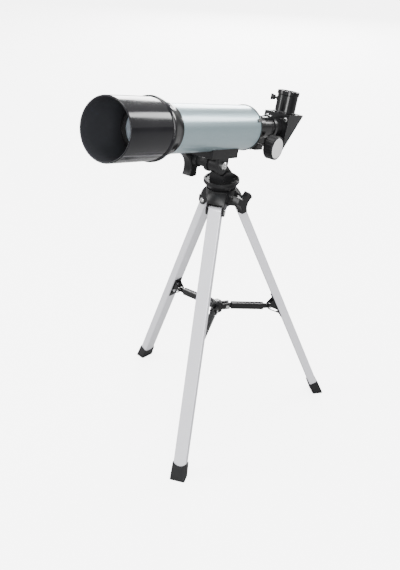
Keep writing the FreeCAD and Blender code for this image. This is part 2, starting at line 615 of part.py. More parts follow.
# ---------------------------------------------------------------- saddle, altitude axis, pan head
def saddle():
    block = box(
        "saddle_block", ("-saddle_half", "-saddle_bottom", "saddle_rear"),
        ("saddle_half", "-tube_radius * 0.7", "saddle_front"),
    )
    hollow = cylinder("saddle_bed", "tube_radius + fit_gap", "80", (0, 0, "saddle_rear - 5"))
    ears = []
    for k, side in enumerate((1, -1)):
        near = "ear_inner" if side > 0 else "-ear_outer"
        far = "ear_outer" if side > 0 else "-ear_inner"
        ears.append(
            box(
                f"ear_{k}", (near, "-axis_below", "axis_along - ear_radius"),
                (far, "-saddle_bottom + 1", "axis_along + ear_radius"),
            )
        )
        ears.append(
            cylinder(
                f"ear_round_{k}", "ear_radius", "ear_outer - ear_inner",
                (near, "-axis_below", "axis_along"), X,
            )
        )
    axle_way = cylinder(
        "alt_way", "bolt_radius + shaft_gap * 0.4", "40", ("-20", "-axis_below", "axis_along"), X,
    )
    screw_ways = pin_row(
        "saddle_way", "1.5", "14",
        [("0", "-saddle_bottom - 1", "saddle_front - 8"), ("0", "-saddle_bottom - 1", "saddle_rear + 5")],
        Y,
    )
    keep(
        cut("saddle_cut", fuse("saddle_whole", block, *ears), hollow, axle_way, *screw_ways), "tube_saddle",
        optical(),
    )
    screws = []
    for k, along in enumerate(("saddle_front - 8", "saddle_rear + 5")):
        screws.append(cylinder(f"saddle_head_{k}", "2.6", "1.5", ("0", "-saddle_bottom - 1.52", along), Y))
        screws.append(cylinder(f"saddle_shank_{k}", "1.45", "6", ("0", "-saddle_bottom - 0.5", along), Y))
    keep(fuse("saddle_screws_all", *screws), "saddle_screws", optical())

    axle = ("-axis_below", "axis_along")
    rod = cylinder(
        "alt_rod", "bolt_radius", "ear_outer + alt_knob_far - 4", ("-alt_knob_far + 4", *axle), X,
    )
    head = cylinder("alt_head", "bolt_head", "2.2", ("ear_outer", *axle), X)
    dome = cone("alt_dome", "bolt_head", "bolt_head - 1.8", "1.4", ("ear_outer + 2.2", *axle), X)
    socket = cylinder("alt_socket", "bolt_head - 3", "3", ("ear_outer + 1.6", *axle), X)
    keep(cut("alt_bolt_cut", fuse("alt_bolt_whole", rod, head, dome), socket), "altitude_bolt", optical())
    sleeve = turned("sleeve", [
        ("bolt_radius + 0.02", "0"), ("sleeve_radius", "0"), ("sleeve_radius", "sleeve_end - ear_outer"),
        ("sleeve_collar", "sleeve_end - ear_outer"), ("sleeve_collar", "alt_knob_near - ear_outer - 0.3"),
        ("bolt_radius + 0.02", "alt_knob_near - ear_outer - 0.3"),
    ])
    sleeve.Placement = Placement(
        Vector(-size("ear_outer"), -size("axis_below"), size("axis_along")), Rotation(Z, X * -1),
    )
    keep(sleeve, "altitude_sleeve", optical())
    knob = lobed(
        "alt_knob", "alt_knob_radius", "alt_knob_far - alt_knob_near", "bolt_radius + shaft_gap",
        "alt_knob_far - alt_knob_near - 4",
    )
    facing = Rotation(Z, X * -1).multiply(Rotation(Z, ALTITUDE_KNOB_TURN))
    knob.Placement = Placement(
        Vector(-size("alt_knob_near"), -size("axis_below"), size("axis_along")), facing,
    )
    keep(knob, "altitude_knob", optical())


def lobed(name, radius, thick, bore, bore_depth):
    """A three-lobed clamping knob with concave flanks and a hub boss."""
    disc = cylinder(f"{name}_disc", radius, thick)
    scoops = ring_of(f"{name}_scoop", 3, f"{radius} * 0.85", f"{thick} + 4", f"{radius} * 1.33", "-2", 60)
    star = cut(f"{name}_star", disc, *scoops)
    soft = doc.addObject("Part::Chamfer", f"{name}_soft")
    soft.Base = star
    doc.recompute()
    rims = [i + 1 for i, e in enumerate(star.Shape.Edges) if abs(e.BoundBox.ZLength) < 1e-6]
    soft.Edges = [(i, 1.2, 1.2) for i in rims]
    return cut(f"{name}_bored", soft, cylinder(f"{name}_bore", bore, bore_depth))


def pan_head():
    plate = turned("pan_plate", [
        ("0", "0"), ("disc_under - 1", "0"), (
            "disc_radius - 0.8", "disc_rim - neck_top - 1",
        ), ("disc_radius", "disc_rim - neck_top"),
        ("disc_radius", "disc_top - neck_top - 1"), ("disc_radius - 1", "disc_top - neck_top"), (
            "disc_radius - 2.4", "disc_top - neck_top",
        ),
        ("disc_radius - 3.4", "disc_top - neck_top - 1.4"), ("0", "disc_top - neck_top - 1.4"),
    ])
    place(plate, (0, 0, "neck_top"))
    axis = optical().multVec(Vector(0, -size("axis_below"), size("axis_along")))
    axis_y, axis_z = axis.y, axis.z
    floor = "disc_top - 2"
    fin = padded("pan_fin", "YZ", [
        (f"{axis_y - 9.8:.3f}", f"{axis_z:.3f}"), ("-13", "386"), ("-13", floor), ("20.5", floor),
        (f"{axis_y + 8.6:.3f}", f"{axis_z + 4.4:.3f}"),
    ], "tongue_half * 2")
    crown = cylinder("pan_crown", "tongue_radius", "tongue_half * 2", ("-tongue_half", axis_y, axis_z), X)
    base_side = [("-13", floor), ("-13", "384"), ("-5", "386"), ("6", "384.5"), ("17.5", floor)]
    base = padded("pan_base", "YZ", base_side, "tongue_base_half * 2")
    axle = cylinder("pan_way", "bolt_radius + shaft_gap", "40", ("-20", axis_y, axis_z), X)
    socket = cylinder("pan_socket", "spindle_radius", "8", ("0", "0", "neck_top - 1"))
    keep(cut("pan_cut", fuse("pan_whole", plate, fin, crown, base), axle, socket), "pan_head")
    rod = cylinder(
        "spindle_rod", "spindle_radius - 0.02", "neck_top + 7 - spindle_foot", (0, 0, "spindle_foot"),
    )
    groove = turned(
        "spindle_groove",
        [
            ("spindle_radius - 1", "0"), ("spindle_radius + 1", "0"), ("spindle_radius + 1", "6"),
            ("spindle_radius - 1", "6"),
        ],
    )
    place(groove, (0, 0, "clamp_height - 3"))
    keep(cut("spindle_cut", rod, groove), "pan_spindle")
    clip = turned(
        "spindle_clip",
        [
            ("spindle_radius - 0.02", "0"), ("spindle_radius + 2.6", "0"), ("spindle_radius + 2.6", "1.2"),
            ("spindle_radius - 0.02", "1.2"),
        ],
    )
    place(clip, (0, 0, "spindle_foot"))
    keep(clip, "spindle_retaining_ring")


# ---------------------------------------------------------------- tripod hub
def hub():
    core = cylinder("hub_core_block", "hub_core", "hub_top - hub_bottom", (0, 0, "hub_bottom"))
    crown = cylinder("hub_crown", "hub_radius", "hub_top - arch_bottom", (0, 0, "arch_bottom"))
    solids, gaps, pins = [core, crown], [], []
    for k in range(3):
        frame = radial(120 * k)
        solids.append(housing(f"housing_{k}", frame))
        gaps.append(leg_gap(f"leg_gap_{k}", frame))
        way = cylinder(f"pin_way_{k}", "pin_radius + 0.02", "40", ("pin_out", "-20", "pin_height"), Y)
        way.Placement = frame.multiply(way.Placement)
        gaps.append(way)
        rod = cylinder(
            f"pin_rod_{k}", "pin_radius", "cheek_outer * 2 + 0.2",
            ("pin_out", "-cheek_outer - 0.1", "pin_height"), Y,
        )
        left = cone(
            f"pin_left_{k}", "pin_radius + 0.4", "pin_radius + 1.2", "0.9",
            ("pin_out", "-cheek_outer - 0.92", "pin_height"), Y,
        )
        right = cone(
            f"pin_right_{k}", "pin_radius + 1.2", "pin_radius + 0.4", "0.9",
            ("pin_out", "cheek_outer + 0.02", "pin_height"), Y,
        )
        pin = fuse(f"pin_{k}", rod, left, right)
        pin.Placement = frame
        pins.append(pin)
    well = cylinder("spindle_well", "spindle_radius + shaft_gap", "60", (0, 0, "spindle_foot - 20"))
    foot = cylinder("clip_well", "spindle_radius + 3", "10", (0, 0, "spindle_foot - 8"))
    foot_top = cylinder("clip_room", "spindle_radius + 3", "4.6", (0, 0, "spindle_foot - 3"))
    bolt = cylinder(
        "clamp_way", "clamp_radius + shaft_gap", "30", ("spindle_radius - 2", "0", "clamp_height"), X,
    )
    bolt.Placement = radial(60).multiply(bolt.Placement)
    keep(cut("hub_cut", fuse("hub_whole", *solids), well, foot, foot_top, bolt, *gaps), "tripod_hub")
    keep(fuse("leg_pins_all", *pins), "leg_pins")

    rod = cylinder(
        "clamp_rod", "clamp_radius", "clamp_knob_far - 3 - spindle_radius",
        ("spindle_radius - 0.9", "0", "clamp_height"), X,
    )
    keep(rod, "pan_clamp_screw", radial(60))
    knob = lobed(
        "clamp_knob", "clamp_knob_radius", "clamp_knob_far - clamp_knob_near", "clamp_radius",
        "clamp_knob_far - clamp_knob_near - 3",
    )
    collar = cylinder(
        "clamp_collar", "clamp_radius + 3", "4", ("clamp_knob_near - 4", "0", "clamp_height"), X,
    )
    knob.Placement = Placement(
        Vector(size("clamp_knob_near"), 0, size("clamp_height")),
        Rotation(Z, X).multiply(Rotation(Z, CLAMP_KNOB_TURN)),
    )
    sleeve = cut(
        "clamp_sleeve", collar,
        cylinder("clamp_sleeve_bore", "clamp_radius", "6", ("clamp_knob_near - 5", "0", "clamp_height"), X),
    )
    keep(fuse("clamp_whole", knob, sleeve), "pan_clamp_knob", radial(60))


def housing(name, frame):
    """One leg housing: rounded arch over the leg with a cheek on each side of it."""
    top, reach = size("hub_top"), size("arch_reach")
    low, pin_out, pin_z = size("arch_bottom"), size("pin_out"), size("pin_height")
    round_radius = size("cheek_round")
    start = size("hub_radius") - 3
    half = size("cheek_outer")

    def at(x, z):
        return Vector(x, -half, z)

    edges = [
        Part.LineSegment(at(5, top), at(start, top)).toShape(),
        Part.Arc(at(start, top), at(reach - 3.2, low + 5.2), at(reach, low - 4)).toShape(),
        Part.LineSegment(at(reach, low - 4), at(pin_out + round_radius, pin_z)).toShape(),
        Part.Arc(at(pin_out + round_radius, pin_z), at(pin_out, pin_z - round_radius),
                 at(pin_out - round_radius, pin_z)).toShape(),
        Part.LineSegment(at(pin_out - round_radius, pin_z), at(5, pin_z + 3)).toShape(),
        Part.LineSegment(at(5, pin_z + 3), at(5, top)).toShape(),
    ]
    face = Part.Face(Part.Wire(Part.__sortEdges__(edges)))
    obj = doc.addObject("Part::Feature", name)
    obj.Shape = face.extrude(Vector(0, 2 * half, 0)).common(dome(start, top, reach, low))
    obj.Placement = frame
    return obj


def dome(start, top, reach, low):
    """A skirt turned about the pan axis, which rounds the outer face of each leg housing."""
    trim = 0.05
    shoulder, hem = start - trim, reach - trim
    corners = [
        Vector(hem, 0, low - 4), Vector(reach + 6, 0, low - 4), Vector(reach + 6, 0, low - 30),
        Vector(0, 0, low - 30), Vector(0, 0, top + 1), Vector(shoulder, 0, top + 1), Vector(shoulder, 0, top),
    ]
    edges = [Part.LineSegment(p, q).toShape() for p, q in zip(corners, corners[1:])]
    flank = Vector(reach - trim - 3.2, 0, low + 5.2)
    edges.append(Part.Arc(corners[-1], flank, corners[0]).toShape())
    return Part.Face(Part.Wire(edges)).revolve(Vector(), Z, 360)


def leg_gap(name, frame):
    """The room between the cheeks that the leg's top swings through."""
    low, pin_out, pin_z = size("arch_bottom"), size("pin_out"), size("pin_height")
    reach = size("arch_reach")
    ceiling = pin_z + size("leg_top") + 3.4
    corners = [
        (pin_out - 9.6, pin_z - 30), (pin_out - 9.6, pin_z + 6.5), (pin_out - 5.5, ceiling),
        (reach - 2.4, ceiling + 1.5), (reach - 1.9, low), (reach + 4, low), (reach + 12, pin_z - 30),
    ]
    half = size("cheek_inner")
    points = [Vector(x, -half, z) for x, z in corners]
    points.append(points[0])
    obj = doc.addObject("Part::Feature", name)
    obj.Shape = Part.Face(Part.makePolygon(points)).extrude(Vector(0, 2 * half, 0))
    obj.Placement = frame
    return obj


# ---------------------------------------------------------------- legs
def rounded_bar(name, wide, deep, low, high, corner, scale_low=0.0):
    """An upright bar with rounded corners, its low end grown by scale_low all round."""
    def section(z, grow):
        a, b = deep / 2 + grow, wide / 2 + grow
        solid = Part.makeBox(2 * a, 2 * b, 1, Vector(-a, -b, z))
        upright = [e for e in solid.Edges if e.BoundBox.ZLength > 0.5]
        faces = solid.makeFillet(corner, upright).Faces
        return min(faces, key=lambda f: (f.CenterOfMass.z, f.BoundBox.ZLength)).OuterWire

    obj = doc.addObject("Part::Feature", name)
    obj.Shape = Part.makeLoft([section(low, scale_low), section(high, 0.0)], True, True)
    return obj


def leg(turn, label):
    frame = leg_frame(turn)
    wide, deep, wall = size("leg_wide"), size("leg_deep"), size("leg_wall")
    top, length = size("leg_top"), size("leg_length")
    skin = rounded_bar(f"leg_skin_{label}", wide, deep, -length, top, 1.4)
    core = rounded_bar(f"leg_core_{label}", wide - 2 * wall, deep - 2 * wall, -length - 1, top - 14, 0.6)
    pin_way = cylinder(f"leg_way_{label}", "pin_radius + shaft_gap", "30", ("0", "-15", "0"), Y)
    rounding = cylinder(f"leg_crown_{label}", "leg_deep / 2", "leg_wide", ("0", "-leg_wide / 2", "0"), Y)
    shoulder = box(
        f"leg_shoulder_{label}", ("-leg_deep / 2 - 1", "-leg_wide / 2 - 1", "0"),
        ("leg_deep / 2 + 1", "leg_wide / 2 + 1", "leg_top + 1"),
    )
    crown_trim = cut(f"leg_trim_{label}", shoulder, rounding)
    keep(cut(f"leg_cut_{label}", skin, core, pin_way, crown_trim), f"leg_tube_{label}", frame)

    # The foot is cut off level with the floor, so its lower face lies flat when the leg is out.
    splay = math.radians(size("splay"))
    floor = -(size("pin_height") / math.cos(splay))
    foot_low, foot_high = floor - 12, floor + size("foot_tall")
    skirt = size("foot_wall")
    cup = rounded_bar(
        f"foot_cup_{label}", wide + 2 * skirt, deep + 2 * skirt, foot_low, foot_high, 2.0,
        size("foot_flare"),
    )
    socket = rounded_bar(
        f"foot_socket_{label}", wide + 0.04, deep + 0.04, -length - 0.02, foot_high + 5, 1.4,
    )
    ground = Part.makeBox(120, 60, 60, Vector(-60, -30, -60))
    ground.Placement = leg_frame(0).inverse().multiply(Placement(Vector(), radial(0).Rotation)).multiply(
        Placement(Vector(size("pin_out") + size("pin_height") * math.tan(splay), 0, 0), Rotation()))
    under = doc.addObject("Part::Feature", f"foot_ground_{label}")
    under.Shape = ground
    scoops = []
    for k, side in enumerate((1, -1)):
        at = (side * (deep / 2 + 10) - 10, 0, foot_high + 7.2)
        scoops.append(cylinder(f"foot_scoop_{label}_{k}", "foot_scoop * 2 + 1", "20", at, X))
    keep(cut(f"foot_cut_{label}", cup, socket, under, *scoops), f"leg_foot_{label}", frame)
    bracket(label, frame)


def bracket(label, frame):
    """Plate on the leg's inner face with two slotted ears for the spreader arm's pin."""
    splay = math.radians(size("splay"))
    pin = Vector(size("pin_out"), 0, size("pin_height"))
    rivet = Vector(size("leg_rivet_out"), 0, size("leg_rivet_height")) - pin
    down = -(rivet.x * math.sin(splay) - rivet.z * math.cos(splay))
    inward = rivet.x * math.cos(splay) + rivet.z * math.sin(splay)
    face = -size("leg_deep") / 2 - 0.02
    thick, half = size("bracket_thick"), size("bracket_half")
    plate = Part.makeBox(
        thick, 2 * half, size("bracket_up + bracket_down"),
        Vector(face - thick, -half, down - size("bracket_down")),
    )
    window_half = size("lug_gap")
    window = Part.makeBox(
        thick + 2, 2 * window_half, 24,
        Vector(face - thick - 1, -window_half, down - size("bracket_down") + 3),
    )
    plate = plate.cut(window)
    along, into = size("slot_along"), size("slot_in")
    ear_round = 3.8
    foot = face - thick / 2
    outline_points = [
        Vector(foot, 0, down + 9), Vector(
            inward - 1.2, 0, down + ear_round,
        ), Vector(inward - ear_round, 0, down),
        Vector(inward - 1.6, 0, down - 3.4), Vector(foot, 0, down - along - 8.5), Vector(foot, 0, down + 9),
    ]
    ear = Part.Face(Part.makePolygon(outline_points)).extrude(Vector(0, size("lug_thick"), 0))
    reach = size("rivet_radius + slot_gap")
    start, stop = Vector(inward, 0, down), Vector(inward + into, 0, down - along)
    ray = (stop - start).normalize()
    side = Vector(ray.z, 0, -ray.x) * reach
    corners = [start + side, stop + side, stop - side, start - side, start + side]
    strip = Part.Face(Part.makePolygon(corners)).extrude(Vector(0, 20, 0)).translated(Vector(0, -10, 0))
    ends = [Part.makeCylinder(reach, 20, p + Vector(0, -10, 0), Y) for p in (start, stop)]
    slot = strip.fuse(ends[0]).fuse(ends[1])
    gap, lug = size("lug_gap"), size("lug_thick")
    right = ear.translated(Vector(0, gap, 0))
    left = ear.translated(Vector(0, -gap - lug, 0))
    shape = plate.fuse(right).fuse(left).cut(slot)
    obj = doc.addObject("Part::Feature", f"bracket_{label}")
    obj.Shape = shape.removeSplitter()
    keep(obj, f"leg_bracket_{label}", frame)


# ---------------------------------------------------------------- spreader
def spreader_hub():
    low = "hub_rivet_height - spread_half_tall"
    core = cylinder("spread_core_block", "spread_core", "spread_half_tall * 2", (0, 0, low))
    cap = cone(
        "spread_cap", "spread_core", "spread_core - 2", "1.6", (0, 0, f"{low} + spread_half_tall * 2"),
    )
    solids, gaps, pins = [core, cap], [], []
    for k in range(3):
        frame = radial(120 * k)
        arm = box(
            f"fork_{k}", ("0", "-fork_gap - 3.1", "hub_rivet_height - 4.2"),
            ("spread_reach", "fork_gap + 3.1", "hub_rivet_height + 4.6"),
        )
        arm.Placement = frame.multiply(arm.Placement)
        solids.append(arm)
        gap = box(
            f"fork_gap_{k}", ("spread_core - 1", "-fork_gap", f"{low} - 1"),
            ("spread_reach + 5", "fork_gap", f"{low} + spread_half_tall * 2 + 3"),
        )
        gap.Placement = frame.multiply(gap.Placement)
        way = cylinder(
            f"fork_way_{k}", "rivet_radius + 0.02", "20", ("hub_rivet_out", "-10", "hub_rivet_height"), Y,
        )
        way.Placement = frame.multiply(way.Placement)
        gaps += [gap, way]
        rod = cylinder(
            f"fork_rod_{k}", "rivet_radius", "( fork_gap + 3.1 ) * 2 + 0.2",
            ("hub_rivet_out", "-fork_gap - 3.2", "hub_rivet_height"), Y,
        )
        heads = [
            cylinder(f"fork_head_{k}_{n}", "rivet_head", "0.9", ("hub_rivet_out", y, "hub_rivet_height"), Y)
            for n, y in enumerate(("-fork_gap - 4.02", "fork_gap + 3.12"))
        ]
        pin = fuse(f"fork_pin_{k}", rod, *heads)
        pin.Placement = frame
        pins.append(pin)
    screw_way = cylinder("spread_way", "2.1", "8", (0, 0, f"{low} + spread_half_tall * 2 - 4"))
    keep(cut("spread_cut", fuse("spread_whole", *solids), screw_way, *gaps), "spreader_hub")
    keep(fuse("fork_pins_all", *pins), "spreader_hub_rivets")
    stud = cylinder("spread_stud", "2", "6", (0, 0, f"{low} + spread_half_tall * 2 - 3.9"))
    head = cylinder("spread_head", "3.6", "1.8", (0, 0, f"{low} + spread_half_tall * 2 + 1.62"))
    keep(fuse("spread_screw_whole", stud, head), "spreader_screw")


def arm(turn, label):
    """Ribbed bar with a flat eye at each end; x runs from the hub's rivet to the leg's pin."""
    run = size("leg_rivet_out - hub_rivet_out")
    drop = size("leg_rivet_height - hub_rivet_height")
    length = math.hypot(run, drop)
    frame = radial(turn).multiply(Placement(
        Vector(
            size("hub_rivet_out"), 0, size("hub_rivet_height"),
        ), Rotation(Y, -math.degrees(math.atan2(drop, run)))))
    half, tall, inset = size("bar_half"), size("bar_tall"), size("bar_inset")
    start, stop = inset, length - inset - 3.5
    bar = Part.makeBox(stop - start, 2 * half, tall, Vector(start, -half, -tall / 2))
    long_edges = [e for e in bar.Edges if e.BoundBox.XLength > 1]
    bar = bar.makeChamfer(0.7, long_edges)
    for side in (1, -1):
        for height in (-1.7, 1.9):
            groove = Part.makeBox(
                stop - start + 2, 0.6, 0.8, Vector(start - 1, side * half - 0.3, height - 0.4),
            )
            bar = bar.cut(groove)
    top_groove = Part.makeBox(stop - start + 2, 2.4, 0.5, Vector(start - 1, -1.2, tall / 2 - 0.5))
    bar = bar.cut(top_groove)
    thick = size("tongue_thick") / 2
    eye_near = Part.makeCylinder(4.0, 2 * thick, Vector(0, -thick, 0), Y)
    eye_far = Part.makeCylinder(3.2, 2 * thick, Vector(length, -thick, 0), Y)
    near = Part.makeBox(start + 1, 2 * thick, 7.0, Vector(0, -thick, -3.5))
    taper = [(stop - 1, -4), (length, -3.2), (length, 3.2), (stop - 1, 4), (stop - 1, -4)]
    far_side = Part.Face(Part.makePolygon([Vector(x, -thick, z) for x, z in taper]))
    far = far_side.extrude(Vector(0, 2 * thick, 0))
    shape = bar.fuse(eye_near).fuse(eye_far).fuse(near).fuse(far)
    shape = shape.cut(Part.makeCylinder(size("rivet_radius + shaft_gap"), 20, Vector(0, -10, 0), Y))
    shape = shape.cut(Part.makeCylinder(size("rivet_radius + 0.02"), 20, Vector(length, -10, 0), Y))
    obj = doc.addObject("Part::Feature", f"arm_{label}")
    obj.Shape = shape.removeSplitter()
    keep(obj, f"spreader_arm_{label}", frame)
    pin = cylinder(
        f"arm_pin_{label}", "rivet_radius", "( lug_gap + lug_thick ) * 2 + 0.6",
        (length, "-lug_gap - lug_thick - 0.3", "0"), Y,
    )
    keep(pin, f"spreader_arm_pin_{label}", frame)


optical_tube()
objective()
focuser()
diagonal()
saddle()
pan_head()
hub()
for turn, label in ((0, "front"), (120, "right"), (-120, "left")):
    leg(turn, label)
spreader_hub()
for turn, label in ((0, "front"), (120, "right"), (-120, "left")):
    arm(turn, label)

doc.recompute()
broken = [o.Label for o in doc.Objects if {"Invalid", "Error"} & set(o.State)]
if broken:
    raise RuntimeError("objects that failed to build: " + ", ".join(broken))
for piece in PIECES:
    shape = piece.Shape
    if shape.isNull() or not shape.isValid() or shape.Volume < 1:
        raise RuntimeError("bad shape: " + piece.Label)
if len({piece.Label for piece in PIECES}) != len(PIECES):
    raise RuntimeError("two pieces share a label")
for piece in PIECES:
    piece.Shape.exportStep(f"parts/{piece.Label}.step")
print(len(PIECES), "pieces")
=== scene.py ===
import json
import math

import bpy
from mathutils import Matrix, Quaternion, Vector


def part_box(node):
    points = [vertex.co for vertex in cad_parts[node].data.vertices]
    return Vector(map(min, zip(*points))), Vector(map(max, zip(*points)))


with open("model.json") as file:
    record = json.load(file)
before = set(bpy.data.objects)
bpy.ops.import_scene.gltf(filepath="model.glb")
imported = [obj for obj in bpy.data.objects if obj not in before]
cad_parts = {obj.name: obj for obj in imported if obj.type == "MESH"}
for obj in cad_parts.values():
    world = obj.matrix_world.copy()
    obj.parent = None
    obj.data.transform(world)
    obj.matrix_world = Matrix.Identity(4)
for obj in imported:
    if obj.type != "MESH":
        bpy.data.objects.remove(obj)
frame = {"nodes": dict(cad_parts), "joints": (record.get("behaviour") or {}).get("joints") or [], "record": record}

MM = 0.001
NODES = frame["nodes"]
JOINTS = {joint["name"]: joint for joint in frame["joints"]}


def save_size():
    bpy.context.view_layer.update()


save_size()

# ---------------------------------------------------------------- the optical frame
AXIS = Vector(JOINTS["focus_slide"]["axis"]).normalized()
REAR = Vector(JOINTS["diagonal_turn"]["pos_m"])
SIDE = Vector((1, 0, 0))
UPWARD = AXIS.cross(SIDE).normalized()
OPTICAL = Matrix((SIDE, UPWARD, AXIS)).transposed().to_4x4()
OPTICAL.translation = REAR
LEGS = {name: Vector(JOINTS[f"leg_{name}_fold"]["axis"]) for name in ("front", "right", "left")}


# ---------------------------------------------------------------- material building blocks
class Shader:
    """A small wrapper that adds nodes to one material and links them in order."""

    def __init__(self, name):
        self.material = bpy.data.materials.new(name)
        self.material.use_nodes = True
        self.tree = self.material.node_tree
        self.surface = self.tree.nodes["Principled BSDF"]
        self.place = self.add("ShaderNodeTexCoord").outputs["Object"]

    def add(self, kind, inputs=None, **settings):
        node = self.tree.nodes.new(kind)
        for key, value in settings.items():
            setattr(node, key, value)
        for key, value in (inputs or {}).items():
            self.feed(node.inputs[key], value)
        return node

    def feed(self, socket, value):
        if isinstance(value, bpy.types.NodeSocket):
            self.tree.links.new(value, socket)
        else:
            socket.default_value = value

    def set(self, **inputs):
        for key, value in inputs.items():
            self.feed(self.surface.inputs[key.replace("_", " ")], value)

    def noise(self, scale, detail=3.0, roughness=0.5, place=None):
        spot = self.place if place is None else place
        inputs = {"Vector": spot, "Scale": scale, "Detail": detail, "Roughness": roughness}
        return self.add("ShaderNodeTexNoise", inputs).outputs["Fac"]

    def between(self, value, low, high, out_low, out_high):
        inputs = {"Value": value, "From Min": low, "From Max": high, "To Min": out_low, "To Max": out_high}
        return self.add("ShaderNodeMapRange", inputs).outputs["Result"]

    def blend(self, amount, first, second):
        mix = self.add("ShaderNodeMix", data_type="RGBA")
        self.feed(mix.inputs[0], amount)
        self.feed(mix.inputs[6], first)
        self.feed(mix.inputs[7], second)
        return mix.outputs[2]

    def math(self, operation, first, second=0.0):
        node = self.add("ShaderNodeMath", operation=operation)
        self.feed(node.inputs[0], first)
        self.feed(node.inputs[1], second)
        return node.outputs[0]

    def bump(self, height, strength, distance):
        inputs = {"Height": height, "Strength": strength, "Distance": distance}
        self.set(Normal=self.add("ShaderNodeBump", inputs).outputs["Normal"])

    def stretched(self, direction, along, across):
        """Object coordinates squeezed so that a texture runs in streaks along a direction."""
        turn = Vector(direction).to_track_quat("Z", "Y").inverted().to_euler()
        spun = self.add("ShaderNodeMapping", {"Vector": self.place, "Rotation": turn}, vector_type="POINT")
        scaled = self.add("ShaderNodeMapping", {"Vector": spun.outputs[0], "Scale": (across, across, along)})
        return scaled.outputs[0]

    def from_axis(self, origin, direction):
        """Distance of a point from a line, in metres."""
        offset = self.add("ShaderNodeVectorMath", {0: self.place, 1: origin}, operation="SUBTRACT").outputs[0]
        pair = {0: offset, 1: direction}
        side = self.add("ShaderNodeVectorMath", pair, operation="CROSS_PRODUCT").outputs[0]
        return self.add("ShaderNodeVectorMath", {0: side}, operation="LENGTH").outputs["Value"]


def grey(value, blue=0.0):
    return (value, value, value + blue, 1.0)


def plastic(name, tone, rough, grain, rough_spread=0.06, ior=1.38):
    """Moulded plastic: small changes of tone and gloss and a fine moulded grain."""
    s = Shader(name)
    wide, fine = s.noise(38, 4), s.noise(2600, 2)
    s.set(Base_Color=s.blend(wide, grey(tone * 0.8, tone * 0.06), grey(tone * 1.25, tone * 0.12)))
    s.set(Roughness=s.between(wide, 0.3, 0.7, rough - rough_spread, rough + rough_spread))
    s.set(IOR=ior)
    s.bump(fine, grain, 0.00006)
    return s.material


PAINT_DARK, PAINT_PALE = (0.27, 0.395, 0.44, 1), (0.33, 0.455, 0.50, 1)
PAINT_FLAKE = (0.50, 0.62, 0.66, 1)


def tube_paint():
    """Pale blue-grey metallic paint with a fine flake, under a thin clear coat."""
    s = Shader("tube paint")
    cloud, flake = s.noise(24, 3), s.noise(3400, 2, 0.6)
    base = s.blend(cloud, PAINT_DARK, PAINT_PALE)
    spark = s.between(flake, 0.35, 0.68, 0.0, 1.0)
    s.set(Base_Color=s.blend(spark, base, PAINT_FLAKE))
    s.set(Metallic=0.7, Roughness=s.between(flake, 0.3, 0.7, 0.30, 0.42))
    s.set(Coat_Weight=0.6, Coat_Roughness=0.12)
    s.bump(flake, 0.10, 0.00005)
    return s.material


STREAK_ALONG, STREAK_ACROSS = 18, 2600


def brushed(name, direction, tone, rough, metallic=1.0, blue=0.01):
    """Metal drawn along one direction, with long faint streaks."""
    s = Shader(name)
    streak = s.noise(1.0, 3, 0.55, s.stretched(direction, STREAK_ALONG, STREAK_ACROSS))
    patch = s.noise(30, 2)
    dark, light = grey(tone * 0.93, blue), grey(min(tone * 1.04, 1.0), blue)
    s.set(Base_Color=s.blend(streak, dark, light), Metallic=metallic)
    streaky = s.between(streak, 0.3, 0.7, rough - 0.05, rough + 0.05)
    s.set(Roughness=s.math("ADD", streaky, s.between(patch, 0.3, 0.7, -0.02, 0.02)))
    s.bump(streak, 0.02, 0.00003)
    return s.material


def plated(name, tone=0.78, rough=0.08):
    """Smooth plated metal with faint haze and scuffs."""
    s = Shader(name)
    haze, scuff = s.noise(60, 3), s.noise(900, 3)
    s.set(Base_Color=s.blend(haze, grey(tone * 0.92), grey(tone * 1.08)), Metallic=1.0)
    s.set(Roughness=s.between(scuff, 0.35, 0.75, rough, rough + 0.12))
    s.bump(scuff, 0.04, 0.00004)
    return s.material


RING_DENSITY = 26000.0  # radians of the ring wave per metre of radius


def turned_metal(name, origin, direction, tone, rough, metallic):
    """Metal faced on a lathe: fine rings round an axis."""
    s = Shader(name)
    radius = s.from_axis(tuple(origin), tuple(direction))
    ring = s.math("SINE", s.math("MULTIPLY", radius, RING_DENSITY))
    soft = s.noise(120, 3)
    s.set(Base_Color=s.blend(s.between(ring, -1, 1, 0, 1), grey(tone * 0.95), grey(tone)), Metallic=metallic)
    s.set(Roughness=s.between(soft, 0.3, 0.7, rough - 0.04, rough + 0.06))
    s.bump(ring, 0.05, 0.00003)
    return s.material


GLOSS_INK, MATT_INK = (0.007, 0.007, 0.009, 1), (0.030, 0.031, 0.036, 1)
WORN_INK = (0.018, 0.018, 0.022, 1)
MATT_EDGE = (0.0006, 0.0010)  # where matt turns to gloss, in metres outside the bore


def two_sided_black(name, bore, gloss_rough, matt_rough):
    """Matt black up to just outside the bore's radius from the optical axis, gloss beyond it."""
    s = Shader(name)
    radius = s.from_axis(tuple(REAR), tuple(AXIS))
    inside = s.between(radius, bore + MATT_EDGE[0], bore + MATT_EDGE[1], 1.0, 0.0)
    wide, fine = s.noise(30, 3), s.noise(1800, 3)
    tone = s.blend(inside, GLOSS_INK, MATT_INK)
    s.set(Base_Color=s.blend(s.between(wide, 0.3, 0.7, 0.0, 0.25), tone, WORN_INK))
    gloss = s.between(wide, 0.3, 0.7, gloss_rough - 0.02, gloss_rough + 0.03)
    rough = s.add("ShaderNodeMix", data_type="FLOAT")
    s.feed(rough.inputs[0], inside)
    s.feed(rough.inputs[2], gloss)
    s.feed(rough.inputs[3], matt_rough)
    s.set(Roughness=rough.outputs[0], IOR=1.46)
    s.bump(fine, 0.03, 0.00003)
    return s.material


# Painted sheen and brightness: the lens colour is pale green-white face-on and violet at grazing angles, and the
# glass is only partly clear so its face looks white.
GLASS_FACE_PAINTED_SHEEN, GLASS_EDGE_PAINTED_SHEEN, COAT_TINT = (0.90, 0.96, 0.95, 1), (0.80, 0.78, 0.95, 1), (0.86, 0.93, 1.0, 1.0)
GLASS_CLEARNESS = 0.45  # a real lens would be 1: the photograph's lens face looks white


